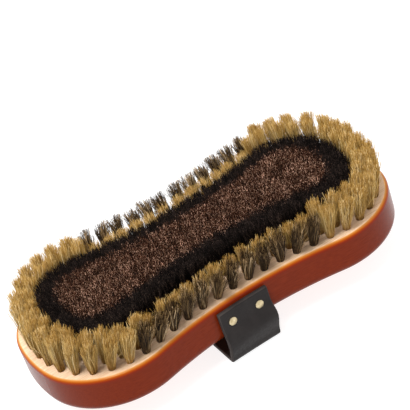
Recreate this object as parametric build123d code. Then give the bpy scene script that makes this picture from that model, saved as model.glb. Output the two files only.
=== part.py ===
from build123d import *
import math
import os

# Strapped wooden hair brush, lying bristles up on the crown of its hand strap.
# Millimetres. X runs along the block, Z points out of the bristle face, Z = 0 is the crown's outer face.

# Wooden block: a waisted outline of tangent arcs, the same at both ends and on both sides.
LENGTH = 200.0
LOBE_WIDTH = 95.0
WAIST_WIDTH = 80.6
END_R = 88.0
SHOULDER_R = 40.0
THICKNESS = 19.5
BACK_EDGE_R = 4.5
FACE_EDGE_R = 2.0

# Hand strap: one strip of leather bent into a low box, its two ends running up the side walls.
STRAP_WIDTH = 28.0
STRAP_THICK = 2.5
STRAP_X = -4.0
STRAP_DROP = 15.0
STRAP_END_BELOW_FACE = 3.5
SHARP_BEND_R = 3.2
SOFT_BEND_R = 11.0

# Domed brass nails, two through each strap end.
NAIL_SPACING = 15.7
NAIL_BELOW_FACE = 10.3
NAIL_R = 0.8
NAIL_POINT = 1.6
NAIL_TIP_R = 0.2
NAIL_LENGTH = 11.0
NAIL_HEAD_R = 2.15
NAIL_HEAD_RIM = 0.15
NAIL_HEAD_DOME = 0.8
NAIL_HEAD_SUNK = 0.4

# Hair tufts. Each row is drilled at its own inset from the block's outline.
# Heights are from the bristle face: tall at both ends, shorter at the waist and in the middle.
# The two outer rows lean outwards, strongly across the block and only a little along it.
HOLE_DEPTH = 6.5
SLEEVE = 0.8
TALL = 21.0
SECOND_TALL = 21.2
DARK_TALL = 19.0
WAIST_TALL = 16.3
SHORT = 18.0
LEAN_ALONG = 3.0
OUTER_COUNT = 54
OUTER_INSET = 6.2
OUTER_PHASE = 0.2
OUTER_R = 1.9
OUTER_TIP_R = 3.1
OUTER_LEAN = 17.0
DARK_LEAN = 20.0
SECOND_INSET = 12.2
SECOND_PHASE = 0.5
SECOND_TIP_R = 2.7
SECOND_LEAN = 12.0
WAIST_LEAN = 16.0
INNER_R = 1.4
INNER_PITCH = 5.5
INNER_PHASE = 0.5
BLACK_INSETS = (17.8, 21.3, 24.8)
BLACK_TIP_R = 1.7
BROWN_INSETS = (28.7, 33.1, 37.5)
BROWN_TIP_R = 2.1
REAR_WAIST = range(7, 19)
FRONT_WAIST = range(34, 46)
LEFT_END = range(19, 34)
CENTRE_LINE_X = (29.5, 35.0, 40.5)
LOBE_FILL_X = (46.2, 51.7, 57.2)
LOBE_FILL_Y = 2.6

# Room for cutting solids to reach past the faces they cut, and the slack for finding edges by place.
CUT_CLEAR = 2.0
TOLERANCE = 0.01

BACK_Z = STRAP_DROP
FACE_Z = BACK_Z + THICKNESS
OUTLINE_END_X = LENGTH / 2 - END_R
SHOULDER_Y = LOBE_WIDTH / 2 - SHOULDER_R
SHOULDER_X = OUTLINE_END_X + math.sqrt((END_R - SHOULDER_R) ** 2 - SHOULDER_Y**2)
WAIST_RISE = WAIST_WIDTH / 2 - SHOULDER_Y
WAIST_R = (SHOULDER_X**2 + WAIST_RISE**2 - SHOULDER_R**2) / (2 * (SHOULDER_R - WAIST_RISE))
WAIST_CENTRE_Y = WAIST_WIDTH / 2 + WAIST_R


def along(start, end, distance):
    dx = end[0] - start[0]
    dy = end[1] - start[1]
    scale = distance / math.hypot(dx, dy)
    return (start[0] + dx * scale, start[1] + dy * scale)


def outline(inset):
    # The block's outline moved inwards by the inset, as one closed wire of twelve arcs.
    end_r = END_R - inset
    shoulder_r = SHOULDER_R - inset
    shoulder = (SHOULDER_X, SHOULDER_Y)
    waist = (0, WAIST_CENTRE_Y)
    end = (OUTLINE_END_X, 0)
    join_end = along(end, shoulder, end_r)
    join_waist = along(shoulder, waist, shoulder_r)
    mid_end = along(end, (join_end[0], join_end[1] / 2), end_r)
    mid_shoulder = (SHOULDER_X, SHOULDER_Y + shoulder_r)
    mid_waist = along(waist, (join_waist[0] / 2, join_waist[1]), WAIST_R + inset)
    points = [(end[0] + end_r, 0), mid_end, join_end, mid_shoulder, join_waist, mid_waist]
    points.append((0, WAIST_WIDTH / 2 - inset))
    arcs = []
    for sx, sy in ((1, 1), (-1, 1), (-1, -1), (1, -1)):
        p = [(px * sx, py * sy) for px, py in points]
        arcs.append(ThreePointArc(p[0], p[1], p[2]))
        arcs.append(ThreePointArc(p[2], p[3], p[4]))
        arcs.append(ThreePointArc(p[4], p[5], p[6]))
    return Wire(arcs)


def plate(inset, low, high):
    return Pos(0, 0, low) * extrude(make_face(outline(inset)), high - low)


def ring(inset, count, phase, lean_across=0.0, lean_along=0.0):
    # Places along one row, each as a frame whose Z leans outwards by the angles across and along the block.
    slope_across = math.tan(math.radians(lean_across))
    slope_along = math.tan(math.radians(lean_along))
    wire = outline(inset)
    frames = []
    for k in range(count):
        share = ((k + phase) / count) % 1.0
        point = wire.position_at(share)
        tangent = wire.tangent_at(share)
        out = Vector(tangent.Y, -tangent.X, 0).normalized()
        axis = Vector(out.X * slope_along, out.Y * slope_across, 1)
        frames.append(Plane(origin=(point.X, point.Y, FACE_Z), z_dir=axis).location)
    return frames


def inner_ring(inset):
    count = round(outline(inset).length / INNER_PITCH)
    return ring(inset, count, INNER_PHASE)


def centre_line():
    return [Location((side * x, 0, FACE_Z)) for side in (1, -1) for x in CENTRE_LINE_X]


def lobe_fill():
    signs = ((1, 1), (1, -1), (-1, 1), (-1, -1))
    return [Location((sx * x, sy * LOBE_FILL_Y, FACE_Z)) for sx, sy in signs for x in LOBE_FILL_X]


def tuft(base_r, tip_r, height):
    # A bundle of hair: a straight plug in its hole, then a slight flare to the cut tips.
    profile = Polyline(
        (0, -HOLE_DEPTH),
        (base_r, -HOLE_DEPTH),
        (base_r, SLEEVE),
        (tip_r, height),
        (0, height),
        close=True,
    )
    return revolve(Plane.XZ * make_face(profile), Axis.Z)


def drill(base_r):
    return Pos(0, 0, -HOLE_DEPTH) * Cylinder(
        base_r, HOLE_DEPTH + CUT_CLEAR, align=(Align.CENTER, Align.CENTER, Align.MIN)
    )


def wall_frame(x, side):
    # A frame on the strap end's outer face, its Z pointing away from the block.
    drop = math.sqrt(WAIST_R**2 - x**2)
    y = WAIST_CENTRE_Y - drop
    out = Vector(-x, drop, 0).normalized()
    origin = Vector(x, y, 0) + out * STRAP_THICK
    z = FACE_Z - NAIL_BELOW_FACE
    return Plane(origin=(origin.X, side * origin.Y, z), z_dir=(out.X, side * out.Y, 0)).location


def nail():
    # Point down its local Z, the head's flat underside let into the leather, its top a spherical cap.
    rise = NAIL_HEAD_DOME - NAIL_HEAD_RIM
    dome_r = (NAIL_HEAD_R**2 + rise**2) / (2 * rise)
    half_angle = math.asin(NAIL_HEAD_R / dome_r) / 2
    mid_dome = (dome_r * math.sin(half_angle), NAIL_HEAD_DOME - dome_r * (1 - math.cos(half_angle)))
    shank_low = NAIL_POINT - NAIL_LENGTH
    sides = Polyline(
        (0, NAIL_HEAD_DOME),
        (0, -NAIL_LENGTH),
        (NAIL_TIP_R, -NAIL_LENGTH),
        (NAIL_R, shank_low),
        (NAIL_R, -NAIL_HEAD_SUNK),
        (NAIL_HEAD_R, -NAIL_HEAD_SUNK),
        (NAIL_HEAD_R, NAIL_HEAD_RIM),
    )
    dome = ThreePointArc((NAIL_HEAD_R, NAIL_HEAD_RIM), mid_dome, (0, NAIL_HEAD_DOME))
    return revolve(Plane.XZ * make_face([*sides.edges(), dome]), Axis.Z)


def hand_strap(nails):
    end_z = FACE_Z - STRAP_END_BELOW_FACE
    strip = Pos(STRAP_X, 0, 0) * Box(STRAP_WIDTH, LENGTH, LENGTH)
    outer = plate(-STRAP_THICK, 0, end_z) & strip
    inner = plate(0, STRAP_THICK, end_z + CUT_CLEAR) & strip
    outer = bend(outer, 0, SHARP_BEND_R, SOFT_BEND_R)
    inner = bend(inner, STRAP_THICK, SHARP_BEND_R - STRAP_THICK, SOFT_BEND_R - STRAP_THICK)
    return outer - inner - nails


def bend(block, z, front_r, rear_r):
    low = [e for e in block.edges() if abs(e.center().Z - z) < TOLERANCE]
    front = min(low, key=lambda e: e.center().Y)
    block = fillet(front, front_r)
    low = [e for e in block.edges() if abs(e.center().Z - z) < TOLERANCE]
    rear = max(low, key=lambda e: e.center().Y)
    return fillet(rear, rear_r)


def wooden_block(holes):
    block = plate(0, BACK_Z, FACE_Z)
    back = block.faces().sort_by(Axis.Z)[0].edges()
    block = fillet(back, BACK_EDGE_R)
    face = block.faces().sort_by(Axis.Z)[-1].edges()
    block = fillet(face, FACE_EDGE_R)
    return block.cut(*holes)


def save(node, solids):
    shape = solids[0] if len(solids) == 1 else Compound(children=solids)
    shape.label = node
    export_step(shape, f"parts/{node}.step")


outer_places = ring(OUTER_INSET, OUTER_COUNT, OUTER_PHASE, OUTER_LEAN, LEAN_ALONG)
dark_places = ring(OUTER_INSET, OUTER_COUNT, OUTER_PHASE, DARK_LEAN, LEAN_ALONG)
second_places = ring(SECOND_INSET, OUTER_COUNT, SECOND_PHASE, SECOND_LEAN, LEAN_ALONG)
waist_places = ring(SECOND_INSET, OUTER_COUNT, SECOND_PHASE, WAIST_LEAN, LEAN_ALONG)
waist = [*REAR_WAIST, *FRONT_WAIST]
right_end = [k for k in range(OUTER_COUNT) if k not in waist and k not in LEFT_END]

outer_blond = tuft(OUTER_R, OUTER_TIP_R, TALL)
outer_dark = tuft(OUTER_R, OUTER_TIP_R, DARK_TALL)
second_tall = tuft(OUTER_R, SECOND_TIP_R, SECOND_TALL)
second_short = tuft(OUTER_R, SECOND_TIP_R, WAIST_TALL)
black = tuft(INNER_R, BLACK_TIP_R, SHORT)
brown = tuft(INNER_R, BROWN_TIP_R, SHORT)

outer_rows = {
    "outer_blond_tufts_left_end": (outer_blond, [outer_places[k] for k in LEFT_END]),
    "outer_blond_tufts_right_end": (outer_blond, [outer_places[k] for k in right_end]),
    "outer_dark_tufts_front": (outer_dark, [dark_places[k] for k in FRONT_WAIST]),
    "outer_dark_tufts_rear": (outer_dark, [dark_places[k] for k in REAR_WAIST]),
    "second_row_blond_tufts_ends": (second_tall, [second_places[k] for k in [*LEFT_END, *right_end]]),
    "second_row_blond_tufts_waist": (second_short, [waist_places[k] for k in waist]),
}
inner_rows = {
    "black_tufts_outer_row": (black, inner_ring(BLACK_INSETS[0])),
    "black_tufts_middle_row": (black, inner_ring(BLACK_INSETS[1])),
    "black_tufts_inner_row": (black, inner_ring(BLACK_INSETS[2])),
    "brown_tufts_outer_row": (brown, inner_ring(BROWN_INSETS[0])),
    "brown_tufts_middle_row": (brown, inner_ring(BROWN_INSETS[1])),
    "brown_tufts_inner_row": (brown, inner_ring(BROWN_INSETS[2])),
    "brown_tufts_centre_line": (brown, centre_line()),
    "brown_tufts_lobe_fill": (brown, lobe_fill()),
}

half = NAIL_SPACING / 2
nail_places = {
    "strap_nail_front_left": wall_frame(STRAP_X - half, -1),
    "strap_nail_front_right": wall_frame(STRAP_X + half, -1),
    "strap_nail_rear_left": wall_frame(STRAP_X - half, 1),
    "strap_nail_rear_right": wall_frame(STRAP_X + half, 1),
}
nails = {name: place * nail() for name, place in nail_places.items()}

wide_drill = drill(OUTER_R)
narrow_drill = drill(INNER_R)
holes = [place * wide_drill for _, places in outer_rows.values() for place in places]
holes += [place * narrow_drill for _, places in inner_rows.values() for place in places]

os.makedirs("parts", exist_ok=True)
save("wooden_block", [wooden_block(holes + list(nails.values()))])
save("hand_strap", [hand_strap(list(nails.values()))])
for name, solid in nails.items():
    save(name, [solid])
for name, (solid, places) in (outer_rows | inner_rows).items():
    save(name, [place * solid for place in places])
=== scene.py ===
import math
import bpy
import numpy as np
from mathutils import Matrix, Vector


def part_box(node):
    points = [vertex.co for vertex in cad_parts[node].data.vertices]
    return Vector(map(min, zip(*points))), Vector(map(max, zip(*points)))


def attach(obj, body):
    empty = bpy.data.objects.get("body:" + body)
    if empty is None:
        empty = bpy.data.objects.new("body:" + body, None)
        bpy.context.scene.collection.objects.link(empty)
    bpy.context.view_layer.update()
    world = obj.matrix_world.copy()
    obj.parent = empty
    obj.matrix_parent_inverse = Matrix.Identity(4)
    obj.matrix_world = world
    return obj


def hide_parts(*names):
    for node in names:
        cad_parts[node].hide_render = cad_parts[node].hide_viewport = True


# Strapped wooden hair brush, lying bristles up on its hand strap. Metres, in the frame's axes.

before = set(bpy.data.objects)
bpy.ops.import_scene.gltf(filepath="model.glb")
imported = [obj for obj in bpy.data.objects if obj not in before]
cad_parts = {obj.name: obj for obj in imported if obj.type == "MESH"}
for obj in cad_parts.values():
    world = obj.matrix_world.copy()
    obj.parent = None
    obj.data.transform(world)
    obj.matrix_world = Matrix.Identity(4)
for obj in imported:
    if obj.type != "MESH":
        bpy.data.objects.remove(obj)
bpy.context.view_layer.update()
MM = 0.001

BLOCK_LOW, BLOCK_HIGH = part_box("wooden_block")
STRAP_LOW, STRAP_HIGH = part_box("hand_strap")
BACK_Z = BLOCK_LOW.z
FACE_Z = BLOCK_HIGH.z

# Camera: a long lens, turned a little about its own axis.
CAMERA_AZIMUTH = -19.0
CAMERA_ELEVATION = 35.0
CAMERA_ROLL = -20.0
CAMERA_DISTANCE = 816 * MM
CAMERA_LENS = 146.4
CAMERA_TARGET = Vector((0, -1.0 * MM, FACE_Z))
CAMERA_AIM_RIGHT = 0.7 * MM
CAMERA_AIM_UP = 25.1 * MM
CAMERA_SENSOR = 36
CAMERA_NEAR = 0.01

# Wood grain: colours from the dark to the light of the grain, on the bare face, the side and the back.
# The side's colours are the back's lacquer darkened with painted shade.
BARE_STOPS = ((0.30, (0.64, 0.41, 0.245)), (0.52, (0.79, 0.56, 0.375)), (0.75, (0.88, 0.68, 0.49)))
BARE_FLECK = (0.52, 0.30, 0.16)
BARE_CLOUD = (0.74, 0.47, 0.27)
SHADED_SIDE_STOPS = ((0.3, (0.120, 0.013, 0.002)), (0.7, (0.165, 0.020, 0.004)))
BACK_STOPS = ((0.3, (0.38, 0.075, 0.014)), (0.7, (0.50, 0.11, 0.022)))
BARE_ROUGHNESS = 0.62
LACQUER_ROUGHNESS = 0.24
WOOD_GLOSS = 0.10

# Heights over which the back's colour turns into the side's painted shade, and depths over which the bare
# face ends.
BACK_TURN = (BACK_Z + 0.2 * MM, BACK_Z + 2.0 * MM)
BARE_END = (0.02 * MM, 0.12 * MM)

# Lacquer on the block's rounded rim, its own orange brightened by a painted highlight where the edge faces
# up: how deep its fade to the side's painted shade runs, how far that edge wanders, and its colours over the
# depth.
RIM_WANDER = 0.16 * MM
RIM_SHADE_DEPTH = 4.5 * MM
RIM_HIGHLIGHT_TO_SHADE_STOPS = (
    (0.02, (0.66, 0.33, 0.11)),
    (0.06, (0.51, 0.19, 0.035)),
    (0.14, (0.40, 0.092, 0.005)),
    (0.26, (0.27, 0.034, 0.001)),
    (0.42, (0.18, 0.014, 0.001)),
    (0.70, (0.14, 0.016, 0.004)),
)

# Strap: one strip, with bends at the block's back in front and at the crown's front and rear.
STRAP_THICK = 2.5 * MM
STRAP_EDGE_R = 0.45 * MM
STRAP_EDGE_TURNS = (0.5, 1.1)
STRAP_COLUMNS = 28
STRAP_STEP = 1.0 * MM
STRAP_BEND_STEP = 0.5 * MM
STRAP_BENDS = (12 * MM, 0.9 * MM, 9 * MM)
FOLD_IN = 1.0 * MM

# The strip bows with the waist it lies on, less at the crown, and is pulled in beside its nails.
WAIST_CURVE_R = 210 * MM
WAIST_BOW = 0.8 * MM
BOW_AT_CROWN = 0.35
BOW_FULL_Y = 30 * MM
NAIL_DIP = 0.3 * MM
NAIL_DIP_R = 2.6 * MM
NAIL_HEAD_IN = 0.985
OUTER_SHARE = 0.6

# The front leg stands off the wall below its nails.
BULGE_LOW = BACK_Z - 4 * MM
BULGE_HIGH = BACK_Z + 2 * MM
BULGE_TOP = FACE_Z - 10.5 * MM
BULGE_LEFT = 1.5 * MM
BULGE_RIGHT = 3.4 * MM

# Leather: name, dark and light colour, roughness, and how fine its pores are.
LEATHERS = (
    ("leather", (0.010, 0.0076, 0.0072), (0.018, 0.0142, 0.0134), 0.55, 900),
    ("leather_flesh_side", (0.010, 0.008, 0.007), (0.022, 0.018, 0.016), 0.85, 500),
    ("leather_cut_edge", (0.022, 0.018, 0.017), (0.060, 0.050, 0.045), 0.75, 700),
)
LEATHER_GLOSS = 0.2
SMOOTH_SIDE, FLESH_SIDE, CUT_EDGE = range(3)

# Hair: how its feet fill their holes, and how a hair bows and tapers along its length.
FOOT_FILL = 0.97
FOOT_SUNK = 0.4 * MM
FAN_POWER = 1.5
TIP_TAPER = 0.45
WILD_REACH = 0.9
MAX_OVER = 0.8 * MM
LOCK_SHADE = 0.25
# Hairs paler than this shade are drawn wider: partly real pale hairs, partly painted glints.
PALE_AND_GLINT_SHADE = 0.9
PALE_AND_GLINT_WIDTH = 1.5
MAP_HALF_WIDTH = 0.006
MAP_EDGE = 0.002
# Flecks along a hair: partly its own uneven tone, partly painted glints.
FLECK_SCALE = (45, 22, 1)
FLECK_RANGE = (0.36, 0.64)
SHADE_RANGE = (0.01, 0.99)
THICK_RANGE = (0.75, 1.2)
ASKEW = (0.31, 0.87, 0.11)

# Rounding that joins a tuft's doubled points, and how near its ends a point counts as part of them.
WELD_DIGITS = 6
END_SLACK = 0.1 * MM

# How far use has pushed the tips of the outer two rows over, at the block's left and right ends.
SWEEP_LEFT = (2.5 * MM, -1.0 * MM, 0)
SWEEP_RIGHT = (0.8 * MM, 1.3 * MM, 0)
SWEEP_FULL_X = 0.7 * BLOCK_HIGH.x

# Hair finishes: shades over a hair's own number, then the tints at its root and its tip.
# The root's tint is painted shade. A tip tint above one is partly the tips' own paler tone and partly
# painted highlight.
HAIR_FINISHES = {
    "blond_hair": dict(
        shades=((0.0, (0.19, 0.090, 0.014)), (0.3, (0.39, 0.228, 0.053)),
                (0.65, (0.64, 0.437, 0.145)), (1.0, (0.98, 0.84, 0.53))),
        root=(0.70, 0.60, 0.50), tip=(0.91, 0.84, 0.72), roughness=0.6, specular=0.2, fleck=0.12),
    "dark_hair": dict(
        shades=((0.0, (0.010, 0.006, 0.003)), (0.45, (0.034, 0.021, 0.011)),
                (0.66, (0.14, 0.085, 0.038)), (0.86, (0.38, 0.25, 0.12)), (1.0, (0.72, 0.55, 0.35))),
        root=(0.8, 0.8, 0.8), tip=(1.2, 1.15, 1.05), roughness=0.5, specular=0.10),
    "black_hair": dict(
        shades=((0.0, (0.0010, 0.0008, 0.0008)), (0.48, (0.003, 0.0022, 0.002)),
                (0.64, (0.010, 0.007, 0.006)), (0.85, (0.075, 0.050, 0.040))),
        root=(0.6, 0.6, 0.6), tip=(1.3, 1.3, 1.3), roughness=0.55, specular=0.08, fleck=0.42),
    # The brown's palest shades are painted glints on single hairs.
    "brown_hair": dict(
        shades=((0.0, (0.002, 0.001, 0.0005)), (0.50, (0.008, 0.003, 0.0015)),
                (0.60, (0.050, 0.020, 0.010)), (0.72, (0.16, 0.066, 0.034)), (0.86, (1.0, 0.64, 0.45))),
        root=(0.3, 0.25, 0.25), tip=(1.15, 1.1, 1.1), roughness=0.5, specular=0.08, fleck=0.42),
}

# Ways a tuft's hairs stand: the outer rows, the second row at the waist, the dark tufts, and the
# brown and black field.
OUTER = dict(fan=1.15, scatter=0.95 * MM, dome=0.6 * MM, ragged=0.9 * MM, curl=0.5 * MM, tilt=0.7 * MM,
             clumps=9, pull=0.45, thick=0.14 * MM, stray=0.02, sweep=True)
WAIST = dict(OUTER, fan=1.35, scatter=1.0 * MM, ragged=0.7 * MM)
DARK = dict(OUTER, fan=1.35, scatter=0.9 * MM, dome=0.3 * MM, ragged=1.3 * MM, pull=0.55, stray=0.04)
BROWN = dict(fan=1.7, scatter=0.9 * MM, dome=0.0, ragged=0.35 * MM, curl=0.6 * MM, tilt=0.3 * MM,
             clumps=5, pull=0.1, thick=0.15 * MM)
BLACK = dict(BROWN, ragged=0.55 * MM, pull=0.25)

# CAD nodes by the start of their names: finish, seed, hairs in a tuft, steps along a hair, and style.
HAIR_ROWS = (
    ("outer_blond_tufts", "blond_hair", 11, 280, 4, OUTER),
    ("second_row_blond_tufts_ends", "blond_hair", 12, 230, 4, OUTER),
    ("second_row_blond_tufts_waist", "blond_hair", 13, 220, 4, WAIST),
    ("outer_dark_tufts", "dark_hair", 14, 210, 4, DARK),
    ("black_tufts", "black_hair", 15, 115, 3, BLACK),
    ("brown_tufts", "brown_hair", 16, 120, 3, BROWN),
)

# Studio: floor, sky by height above the horizon, and lamps (name, place, size, power).
FLOOR_HALF = 6.0
FLOOR_GREY = 0.3
FLOOR_GLOW = 0.85
SKY_STOPS = ((0.0, 1.0), (0.14, 1.0), (0.22, 0.45), (0.8, 1.0))
LAMP_TARGET = (0, 0, 0.03)
LAMPS = (
    ("key", (-0.35, -0.30, 1.05), 0.5, 11),
    ("fill", (0.8, -0.5, 0.5), 0.6, 1.5),
    ("back", (0.1, 0.8, 0.8), 0.6, 5),
)


# ---------------------------------------------------------------- node helpers

def new_material(name):
    material = bpy.data.materials.new(name)
    material.use_nodes = True
    tree = material.node_tree
    shader = tree.nodes["Principled BSDF"]
    return material, tree, shader


def node(tree, kind, **settings):
    made = tree.nodes.new(kind)
    for key, value in settings.items():
        setattr(made, key, value)
    return made


def ramp(tree, factor, stops):
    made = tree.nodes.new("ShaderNodeValToRGB")
    elements = made.color_ramp.elements
    while len(elements) < len(stops):
        elements.new(0.5)
    for element, (place, colour) in zip(elements, stops):
        element.position = place
        element.color = (*colour, 1.0)
    tree.links.new(factor, made.inputs["Fac"])
    return made.outputs["Color"]


def noise(tree, vector, scale, detail=3.0, roughness=0.55):
    made = node(tree, "ShaderNodeTexNoise")
    made.inputs["Scale"].default_value = scale
    made.inputs["Detail"].default_value = detail
    made.inputs["Roughness"].default_value = roughness
    tree.links.new(vector, made.inputs["Vector"])
    return made.outputs["Fac"]


def stretched(tree, vector, scale):
    made = node(tree, "ShaderNodeMapping")
    made.inputs["Scale"].default_value = scale
    tree.links.new(vector, made.inputs["Vector"])
    return made.outputs["Vector"]


def map_range(tree, value, low, high, to_low=0.0, to_high=1.0, smooth=True):
    made = node(tree, "ShaderNodeMapRange")
    made.interpolation_type = "SMOOTHSTEP" if smooth else "LINEAR"
    made.inputs["From Min"].default_value = low
    made.inputs["From Max"].default_value = high
    made.inputs["To Min"].default_value = to_low
    made.inputs["To Max"].default_value = to_high
    tree.links.new(value, made.inputs["Value"])
    return made.outputs["Result"]


def mix(tree, factor, a, b, blend="MIX"):
    made = node(tree, "ShaderNodeMix", data_type="RGBA", blend_type=blend)
    for value, socket in ((factor, made.inputs[0]), (a, made.inputs[6]), (b, made.inputs[7])):
        if hasattr(value, "is_linked"):
            tree.links.new(value, socket)
        else:
            socket.default_value = value if isinstance(value, float) else (*value, 1.0)
    return made.outputs[2]


def maths(tree, operation, a, b):
    made = node(tree, "ShaderNodeMath", operation=operation)
    for value, socket in ((a, made.inputs[0]), (b, made.inputs[1])):
        if hasattr(value, "is_linked"):
            tree.links.new(value, socket)
        else:
            socket.default_value = value
    return made.outputs[0]


def bump(tree, shader, height, distance, strength=1.0):
    made = node(tree, "ShaderNodeBump")
    made.inputs["Distance"].default_value = distance
    made.inputs["Strength"].default_value = strength
    tree.links.new(height, made.inputs["Height"])
    tree.links.new(made.outputs["Normal"], shader.inputs["Normal"])


# ------------------------------------------------------------------- materials

def wood_material():
    # One block, finished by height: bare beech face, lacquer on the rounded rim brightened by a painted
    # highlight and darkening to the side's painted shade, and an orange back.
    material, tree, shader = new_material("lacquered_and_bare_wood")
    place = node(tree, "ShaderNodeTexCoord").outputs["Object"]
    height = node(tree, "ShaderNodeSeparateXYZ")
    tree.links.new(place, height.inputs["Vector"])
    z = height.outputs["Z"]
    drift = maths(tree, "SUBTRACT", noise(tree, place, 60), 0.5)
    wander = maths(tree, "MULTIPLY", drift, RIM_WANDER)
    depth = maths(tree, "SUBTRACT", FACE_Z, maths(tree, "ADD", z, wander))
    grain = noise(tree, stretched(tree, place, (18, 260, 260)), 6, 5)
    fleck = noise(tree, stretched(tree, place, (150, 1500, 900)), 2, 2)
    cloud = noise(tree, stretched(tree, place, (12, 30, 30)), 1.5, 3)
    bare = ramp(tree, grain, BARE_STOPS)
    bare = mix(tree, map_range(tree, fleck, 0.56, 0.70, 0.0, 0.4), bare, BARE_FLECK)
    bare = mix(tree, map_range(tree, cloud, 0.45, 0.7, 0.0, 0.35), bare, BARE_CLOUD)
    # Rim: the lacquer's own orange with a painted highlight where the edge faces up, darkening into the
    # side's painted shade.
    rim_highlight_to_shade = ramp(tree, maths(tree, "DIVIDE", depth, RIM_SHADE_DEPTH), RIM_HIGHLIGHT_TO_SHADE_STOPS)
    # The side is the back's lacquer darkened with painted shade.
    side = ramp(tree, grain, SHADED_SIDE_STOPS)
    back = ramp(tree, grain, BACK_STOPS)
    lacquer = mix(tree, map_range(tree, z, *BACK_TURN), back, side)
    lacquer = mix(tree, map_range(tree, depth, 0.6 * RIM_SHADE_DEPTH, RIM_SHADE_DEPTH), rim_highlight_to_shade, lacquer)
    bare_share = map_range(tree, depth, *BARE_END, 1.0, 0.0)
    tree.links.new(mix(tree, bare_share, lacquer, bare), shader.inputs["Base Color"])
    rough = map_range(tree, bare_share, 0, 1, LACQUER_ROUGHNESS, BARE_ROUGHNESS)
    tree.links.new(rough, shader.inputs["Roughness"])
    shader.inputs["Specular IOR Level"].default_value = WOOD_GLOSS
    bump(tree, shader, grain, 0.05 * MM, 0.35)
    return material


def leather_material(name, dark, light, roughness, pores):
    material, tree, shader = new_material(name)
    place = node(tree, "ShaderNodeTexCoord").outputs["Object"]
    cloud = noise(tree, place, 90, 4)
    fine = noise(tree, place, pores, 3)
    colour = ramp(tree, cloud, ((0.3, dark), (0.72, light)))
    tree.links.new(colour, shader.inputs["Base Color"])
    rough = map_range(tree, fine, 0.3, 0.7, roughness - 0.06, roughness + 0.08)
    tree.links.new(rough, shader.inputs["Roughness"])
    shader.inputs["Specular IOR Level"].default_value = LEATHER_GLOSS
    height = maths(tree, "ADD", fine, maths(tree, "MULTIPLY", cloud, 0.6))
    bump(tree, shader, height, 0.12 * MM, 0.5)
    return material


def brass_material():
    material, tree, shader = new_material("brass")
    place = node(tree, "ShaderNodeTexCoord").outputs["Object"]
    tarnish = noise(tree, place, 700, 4)
    colour = ramp(tree, tarnish, ((0.3, (0.46, 0.36, 0.20)), (0.6, (0.66, 0.56, 0.36))))
    tree.links.new(colour, shader.inputs["Base Color"])
    tree.links.new(map_range(tree, tarnish, 0.3, 0.7, 0.62, 0.46), shader.inputs["Roughness"])
    shader.inputs["Metallic"].default_value = 1.0
    bump(tree, shader, tarnish, 0.03 * MM, 0.4)
    return material


def hair_material(name, shades, root, tip, roughness, specular, fleck=0.0):
    # Each hair's map has its own shade in U, and runs from root to tip in V. Flecks vary the shade along the
    # hair, partly as its own uneven tone and partly as painted glints.
    material, tree, shader = new_material(name)
    layer = node(tree, "ShaderNodeUVMap", uv_map="OFBake").outputs["UV"]
    split = node(tree, "ShaderNodeSeparateXYZ")
    tree.links.new(layer, split.inputs["Vector"])
    own = split.outputs["X"]
    if fleck:
        cells = noise(tree, stretched(tree, layer, FLECK_SCALE), 1, 1)
        spots = map_range(tree, cells, *FLECK_RANGE, smooth=False)
        plain = maths(tree, "MULTIPLY", own, 1 - fleck)
        own = maths(tree, "ADD", plain, maths(tree, "MULTIPLY", spots, fleck))
    shade = ramp(tree, own, shades)
    # Painted shade darkens each hair towards its root. A tip tint above one is partly the tips' own paler
    # tone and partly painted highlight.
    length = ramp(tree, split.outputs["Y"], ((0.0, root), (0.75, (1, 1, 1)), (1.0, tip)))
    tree.links.new(mix(tree, 1.0, shade, length, "MULTIPLY"), shader.inputs["Base Color"])
    shader.inputs["Roughness"].default_value = roughness
    shader.inputs["Specular IOR Level"].default_value = specular
    return material


# ------------------------------------------------------------------------ hair

def tufts_of(name):
    # Every tuft of a CAD node as (foot on the bristle face, axis, height, foot radius, tip radius).
    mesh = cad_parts[name].data
    points = np.zeros(len(mesh.vertices) * 3)
    mesh.vertices.foreach_get("co", points)
    points = points.reshape(-1, 3)
    places, same = np.unique(np.round(points, WELD_DIGITS), axis=0, return_inverse=True)
    same = same.reshape(-1)
    ends = np.zeros(len(mesh.edges) * 2, int)
    mesh.edges.foreach_get("vertices", ends)
    ends = same[ends].reshape(-1, 2)
    label = np.arange(len(places))
    while True:
        low = np.minimum(label[ends[:, 0]], label[ends[:, 1]])
        before = label.copy()
        np.minimum.at(label, ends[:, 0], low)
        np.minimum.at(label, ends[:, 1], low)
        label = label[label]
        if np.array_equal(before, label):
            break
    return [measure(places[label == k]) for k in np.unique(label)]


def measure(points):
    centre = points.mean(0)
    axis = np.linalg.svd(points - centre, full_matrices=False)[2][0]
    axis = axis * np.sign(axis[2])
    along = (points - centre) @ axis
    foot = centre + axis * (FACE_Z - centre[2]) / axis[2]
    radial = np.linalg.norm(points - centre - along[:, None] * axis, axis=1)
    top = along > along.max() - END_SLACK
    bottom = along < along.min() + END_SLACK
    tip = centre + axis * along.max()
    return foot, axis, np.linalg.norm(tip - foot), radial[bottom].max(), radial[top].max()


def disc(random, count):
    radius = np.sqrt(random.random(count))
    angle = random.random(count) * 2 * math.pi
    return np.stack([radius * np.cos(angle), radius * np.sin(angle)], 1)


def swept(foot):
    # How far use has pushed the tips of the tuft at this foot, growing towards the block's ends.
    whole = np.array(SWEEP_LEFT if foot[0] < 0 else SWEEP_RIGHT)
    return whole * min(abs(foot[0]) / SWEEP_FULL_X, 1)


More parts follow.
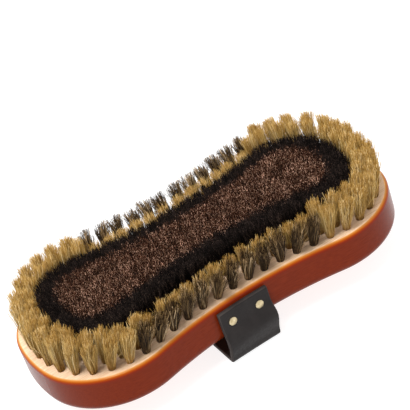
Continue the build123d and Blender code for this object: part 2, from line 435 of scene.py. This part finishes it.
def hairs(tuft, random, count, fan, scatter, dome, ragged, curl, tilt, clumps, pull, thick,
          stray=0.0, sweep=False):
    # One tuft's hairs: upright in the hole, fanned towards the tips, and gathered into a few locks.
    foot, axis, height, foot_r, tip_r = tuft
    side = np.cross(axis, [1.0, 0.0, 0.0])
    side = side / np.linalg.norm(side)
    across = np.stack([side, np.cross(axis, side)])
    at_foot = disc(random, count)
    locks = disc(random, clumps)
    gaps = np.linalg.norm(at_foot[:, None, :] - locks[None, :, :], axis=2)
    lock = gaps.argmin(1)
    at_tip = at_foot + pull * (locks[lock] - at_foot)
    reach = at_tip * tip_r * fan + random.normal(0, scatter, (count, 2))
    reach = reach + random.normal(0, tilt, 2)
    wild = random.random(count) < stray
    reach[wild] += random.normal(0, tip_r * WILD_REACH, (wild.sum(), 2))
    start = foot + (at_foot * foot_r * FOOT_FILL) @ across - axis * FOOT_SUNK
    spread = (reach - at_foot * foot_r) @ across + (swept(foot) if sweep else 0)
    drop = dome * (reach**2).sum(1) / tip_r**2
    lock_length = random.normal(0, ragged, clumps)[lock]
    length = height + FOOT_SUNK - ragged - drop + lock_length + random.normal(0, ragged, count)
    length = np.minimum(length, height + FOOT_SUNK + MAX_OVER)
    bend = random.normal(0, curl, (count, 2)) @ across
    hook = random.normal(0, curl, (count, 2)) @ across
    lock_shade = random.random(clumps)[lock]
    shade = random.random(count) * (1 - LOCK_SHADE) + lock_shade * LOCK_SHADE
    shade = np.clip(shade, *SHADE_RANGE)
    width = thick * random.uniform(*THICK_RANGE, count)
    # Pale hairs, partly painted glints, are drawn wider so they show.
    width[shade > PALE_AND_GLINT_SHADE] *= PALE_AND_GLINT_WIDTH
    return start, np.repeat(axis[None, :], count, 0), length, spread, bend, hook, shade, width


def hair_lines(start, axis, length, spread, bend, hook, share):
    line = start[:, None, :] + axis[:, None, :] * (length[:, None] * share[None, :])[:, :, None]
    line = line + spread[:, None, :] * (share**FAN_POWER)[None, :, None]
    line = line + bend[:, None, :] * np.sin(share * math.pi)[None, :, None]
    return line + hook[:, None, :] * (share**3)[None, :, None]


def hair_faces(count, steps):
    # Vertex loops and loop starts of closed three-sided tubes: sides, a floor and a pointed end.
    per = (steps + 1) * 3 + 1
    quads = []
    for s in range(steps):
        for k in range(3):
            n = (k + 1) % 3
            quads.append((s * 3 + k, s * 3 + n, s * 3 + 3 + n, s * 3 + 3 + k))
    last = steps * 3
    triangles = [(0, 2, 1)] + [(last + k, last + (k + 1) % 3, per - 1) for k in range(3)]
    base = np.arange(count)[:, None, None] * per
    quads = (np.array(quads)[None] + base).reshape(-1, 4)
    triangles = (np.array(triangles)[None] + base).reshape(-1, 3)
    loops = np.concatenate([quads.reshape(-1), triangles.reshape(-1)])
    quad_starts = np.arange(len(quads)) * 4
    triangle_starts = len(quads) * 4 + np.arange(len(triangles)) * 3
    starts = np.concatenate([quad_starts, triangle_starts])
    return loops, starts


def hair_mesh(name, bundles, steps, material):
    joined = [np.concatenate(part) for part in zip(*bundles)]
    start, axis, length, spread, bend, hook, shade, width = joined
    count = len(start)
    share = np.linspace(0, 1, steps + 1)
    line = hair_lines(start, axis, length, spread, bend, hook, share)
    a = np.cross(axis, ASKEW)
    a = a / np.linalg.norm(a, axis=1)[:, None]
    b = np.cross(axis, a)
    taper = 1 - TIP_TAPER * share**2
    per = (steps + 1) * 3 + 1
    points = np.zeros((count, per, 3))
    for k in range(3):
        angle = 2 * math.pi * k / 3
        ray = a * math.cos(angle) + b * math.sin(angle)
        points[:, k:-1:3] = line + ray[:, None, :] * (width[:, None] * taper[None, :])[:, :, None]
    points[:, -1] = line[:, -1] + axis * width[:, None]
    loops, starts = hair_faces(count, steps)
    mesh = bpy.data.meshes.new(name)
    mesh.vertices.add(count * per)
    mesh.vertices.foreach_set("co", points.reshape(-1))
    mesh.loops.add(len(loops))
    mesh.loops.foreach_set("vertex_index", loops)
    mesh.polygons.add(len(starts))
    mesh.polygons.foreach_set("loop_start", starts)
    mesh.polygons.foreach_set("use_smooth", np.ones(len(starts), bool))
    mesh.update(calc_edges=True)
    uv = np.zeros((count, per, 2))
    for k in range(3):
        uv[:, k:-1:3, 0] = shade[:, None] + (k - 1) * MAP_HALF_WIDTH
        uv[:, k:-1:3, 1] = MAP_EDGE + (1 - 2 * MAP_EDGE) * share[None, :]
    uv[:, -1] = np.stack([shade, np.full(count, 1 - MAP_EDGE)], 1)
    layer = mesh.uv_layers.new(name="OFBake")
    layer.data.foreach_set("uv", uv.reshape(-1, 2)[loops].reshape(-1))
    mesh.validate()
    mesh.materials.append(material)
    return add_piece(name, mesh)


def add_piece(name, mesh):
    piece = bpy.data.objects.new(name, mesh)
    bpy.context.scene.collection.objects.link(piece)
    return piece


def grow(kind, material, seed, count, steps, style):
    # Hair in place of every CAD tuft node whose name starts with the kind.
    random = np.random.default_rng(seed)
    for node_name in sorted(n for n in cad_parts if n.startswith(kind)):
        bundles = [hairs(tuft, random, count, **style) for tuft in tufts_of(node_name)]
        piece = hair_mesh(f"hair_{node_name}", bundles, steps, material)
        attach(piece, "root")
        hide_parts(node_name)


def all_hair():
    finishes = {name: hair_material(name, **finish) for name, finish in HAIR_FINISHES.items()}
    for kind, slot, seed, count, steps, style in HAIR_ROWS:
        grow(kind, finishes[slot], seed, count, steps, style)


# ----------------------------------------------------------------------- strap

def rounded_path(corners, radii, step):
    # Points along a run of straight stretches whose corners are arcs.
    path = [Vector(corners[0])]
    for before, corner, after, radius in zip(corners, corners[1:], corners[2:], radii):
        corner = Vector(corner)
        back = (Vector(before) - corner).normalized()
        ahead = (Vector(after) - corner).normalized()
        half = back.angle(ahead) / 2
        reach = radius / math.tan(half)
        centre = corner + (back + ahead).normalized() * (radius / math.sin(half))
        first = corner + back * reach - centre
        turn = first.angle_signed(corner + ahead * reach - centre)
        count = max(4, round(abs(turn) * radius / step))
        for k in range(count + 1):
            angle = -turn * k / count
            path.append(centre + Vector((first.x * math.cos(angle) - first.y * math.sin(angle),
                                         first.x * math.sin(angle) + first.y * math.cos(angle))))
    path.append(Vector(corners[-1]))
    return path


def evenly(path, step):
    spaced = [path[0]]
    for a, b in zip(path, path[1:]):
        count = max(1, math.ceil((b - a).length / step))
        spaced += [a.lerp(b, k / count) for k in range(1, count + 1)]
    return spaced


def strap_path():
    # The inner face of the strip in the YZ plane, from the front end over the crown to the rear end.
    wall = STRAP_HIGH.y - STRAP_THICK - WAIST_BOW
    top = STRAP_HIGH.z
    crown = STRAP_THICK
    corners = [
        (-wall, top),
        (-wall, BACK_Z),
        (-wall + FOLD_IN, crown),
        (wall, crown),
        (wall, top),
    ]
    return evenly(rounded_path(corners, STRAP_BENDS, STRAP_BEND_STEP), STRAP_STEP)


def leg_bulge(x, z):
    # How far the front leg stands off below its nails, more and higher up at the strap's right edge.
    side = x / (STRAP_HIGH.x - STRAP_LOW.x) + 0.5
    peak = BULGE_LOW + (BULGE_HIGH - BULGE_LOW) * side
    reach = BULGE_LEFT + (BULGE_RIGHT - BULGE_LEFT) * side
    low_rise = (z - STRAP_THICK) / (peak - STRAP_THICK)
    high_rise = (BULGE_TOP - z) / (BULGE_TOP - peak)
    rise = min(max(low_rise if z < peak else high_rise, 0), 1)
    return reach * math.sin(rise * math.pi / 2) ** 2


def strap_ring(half_width):
    # (across, through, part) of the strip's section: 0 through is the inner face. Its edges are rounded.
    edge = STRAP_EDGE_R
    inset = half_width - edge
    top = STRAP_THICK - edge
    turns = [(edge * math.sin(t), edge * math.cos(t)) for t in STRAP_EDGE_TURNS]
    across = np.linspace(-inset, inset, STRAP_COLUMNS)
    ring = [(w, STRAP_THICK, "outer") for w in across]
    ring += [(inset + s, top + c, "edge") for s, c in turns]
    ring += [(half_width, top, "edge"), (half_width, edge, "edge")]
    ring += [(inset + c, edge - s, "edge") for s, c in turns]
    ring += [(w, 0.0, "inner") for w in across[::-1]]
    ring += [(-inset - s, edge - c, "edge") for s, c in turns]
    ring += [(-half_width, edge, "edge"), (-half_width, top, "edge")]
    ring += [(-inset - c, top + s, "edge") for s, c in turns]
    return ring


def nail_heads():
    heads = []
    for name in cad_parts:
        if name.startswith("strap_nail"):
            low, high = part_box(name)
            y = high.y if high.y > -low.y else low.y
            heads.append(Vector(((low.x + high.x) / 2, y * NAIL_HEAD_IN, (low.z + high.z) / 2)))
    return heads


def nail_dip(point, heads):
    # How far the leather is pulled in beside a nail's head.
    near = min((point - head).length for head in heads)
    return NAIL_DIP * math.exp(-((near / NAIL_DIP_R) ** 2))


def path_out(path, k):
    # The strip's outward normal at a point of its path, away from the middle of the block's back.
    before = path[max(k - 1, 0)]
    after = path[min(k + 1, len(path) - 1)]
    way = (after - before).normalized()
    out = Vector((way.y, -way.x))
    return out if out.dot(path[k] - Vector((0, BACK_Z))) > 0 else -out


def strap_point(w, through, here, out, heads):
    # One point of the strip, at a place on its path and in its section.
    x = (STRAP_LOW.x + STRAP_HIGH.x) / 2 + w
    rise = min(max((here.y - STRAP_THICK) / (BACK_Z - STRAP_THICK), 0), 1)
    sag = WAIST_CURVE_R - math.sqrt(WAIST_CURVE_R**2 - x**2)
    bow = sag * (BOW_AT_CROWN + (1 - BOW_AT_CROWN) * rise)
    y = here.x + out.x * through + math.copysign(bow, here.x) * min(1, abs(here.x) / BOW_FULL_Y)
    point = Vector((x, y, here.y + out.y * through))
    if here.x < 0:
        point.y -= leg_bulge(w, here.y)
    if through > STRAP_THICK * OUTER_SHARE:
        point.y -= math.copysign(nail_dip(point, heads), point.y)
    return point


def strap_faces(ring, rows):
    # Faces of the strip and its two cut ends, each with the leather it shows.
    size = len(ring)
    faces = []
    kinds = []
    for k in range(rows - 1):
        for j in range(size):
            n = (j + 1) % size
            faces.append((k * size + j, k * size + n, (k + 1) * size + n, (k + 1) * size + j))
            pair = {ring[j][2], ring[n][2]}
            kinds.append(SMOOTH_SIDE if pair == {"outer"} else FLESH_SIDE if pair == {"inner"} else CUT_EDGE)
    last = (rows - 1) * size
    faces.append(tuple(range(size))[::-1])
    faces.append(tuple(last + j for j in range(size)))
    kinds += [CUT_EDGE, CUT_EDGE]
    return faces, kinds


def strap():
    ring = strap_ring((STRAP_HIGH.x - STRAP_LOW.x) / 2)
    path = strap_path()
    heads = nail_heads()
    points = []
    for k, here in enumerate(path):
        out = path_out(path, k)
        points += [strap_point(w, through, here, out, heads) for w, through, part in ring]
    faces, kinds = strap_faces(ring, len(path))
    mesh = bpy.data.meshes.new("leather_strap")
    mesh.from_pydata(points, [], faces)
    mesh.validate()
    for leather in LEATHERS:
        mesh.materials.append(leather_material(*leather))
    for polygon, kind in zip(mesh.polygons, kinds):
        polygon.material_index = kind
        polygon.use_smooth = True
    piece = add_piece("leather_strap", mesh)
    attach(piece, "root")
    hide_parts("hand_strap")


# ----------------------------------------------------------- CAD pieces, stage

def dress_frame():
    finishes = {"wooden_block": wood_material()}
    brass = brass_material()
    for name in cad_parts:
        if "nail" in name:
            finishes[name] = brass
    for name, material in finishes.items():
        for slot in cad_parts[name].material_slots:
            slot.material = material


def area_light(name, place, size, power):
    data = bpy.data.lights.new(name, "AREA")
    data.shape = "DISK"
    data.size = size
    data.energy = power
    light = bpy.data.objects.new(name, data)
    light.location = place
    light.rotation_mode = "QUATERNION"
    light.rotation_quaternion = (Vector(LAMP_TARGET) - Vector(place)).to_track_quat("-Z", "Y")
    bpy.context.scene.collection.objects.link(light)


def floor():
    mesh = bpy.data.meshes.new("floor")
    corners = [(x * FLOOR_HALF, y * FLOOR_HALF, 0) for x, y in ((-1, -1), (1, -1), (1, 1), (-1, 1))]
    mesh.from_pydata(corners, [], [(0, 1, 2, 3)])
    material, _, shader = new_material("floor")
    shader.inputs["Base Color"].default_value = (FLOOR_GREY, FLOOR_GREY, FLOOR_GREY, 1)
    shader.inputs["Roughness"].default_value = 0.9
    shader.inputs["Specular IOR Level"].default_value = 0.0
    shader.inputs["Emission Color"].default_value = (1, 1, 1, 1)
    shader.inputs["Emission Strength"].default_value = FLOOR_GLOW
    mesh.materials.append(material)
    piece = add_piece("floor", mesh)


def studio():
    # A bright ceiling that dims downwards, a pale band at the horizon, and three large soft lamps.
    world = bpy.data.worlds.new("studio")
    world.use_nodes = True
    tree = world.node_tree
    split = node(tree, "ShaderNodeSeparateXYZ")
    tree.links.new(node(tree, "ShaderNodeTexCoord").outputs["Generated"], split.inputs["Vector"])
    sky = ramp(tree, split.outputs["Z"], [(height, (grey, grey, grey)) for height, grey in SKY_STOPS])
    background = tree.nodes["Background"]
    tree.links.new(sky, background.inputs["Color"])
    background.inputs["Strength"].default_value = 1.0
    bpy.context.scene.world = world
    for lamp in LAMPS:
        area_light(*lamp)
    bpy.context.scene.view_settings.view_transform = "Standard"


def camera():
    a = math.radians(CAMERA_AZIMUTH)
    e = math.radians(CAMERA_ELEVATION)
    r = math.radians(CAMERA_ROLL)
    back = Vector((math.sin(a) * math.cos(e), -math.cos(a) * math.cos(e), math.sin(e)))
    level = Vector((0, 0, 1)).cross(back).normalized()
    upright = back.cross(level)
    right = level * math.cos(r) + upright * math.sin(r)
    up = upright * math.cos(r) - level * math.sin(r)
    data = bpy.data.cameras.new("camera")
    data.lens = CAMERA_LENS
    data.sensor_width = CAMERA_SENSOR
    data.clip_start = CAMERA_NEAR
    eye = bpy.data.objects.new("camera", data)
    eye.location = CAMERA_TARGET + back * CAMERA_DISTANCE
    aim = CAMERA_TARGET + right * CAMERA_AIM_RIGHT + up * CAMERA_AIM_UP
    toward = (aim - eye.location).normalized()
    across = toward.cross(up).normalized()
    above = across.cross(toward)
    eye.rotation_mode = "QUATERNION"
    eye.rotation_quaternion = Matrix((across, above, -toward)).transposed().to_quaternion()
    bpy.context.scene.collection.objects.link(eye)
    bpy.context.scene.camera = eye


dress_frame()
all_hair()
strap()
floor()
studio()
camera()
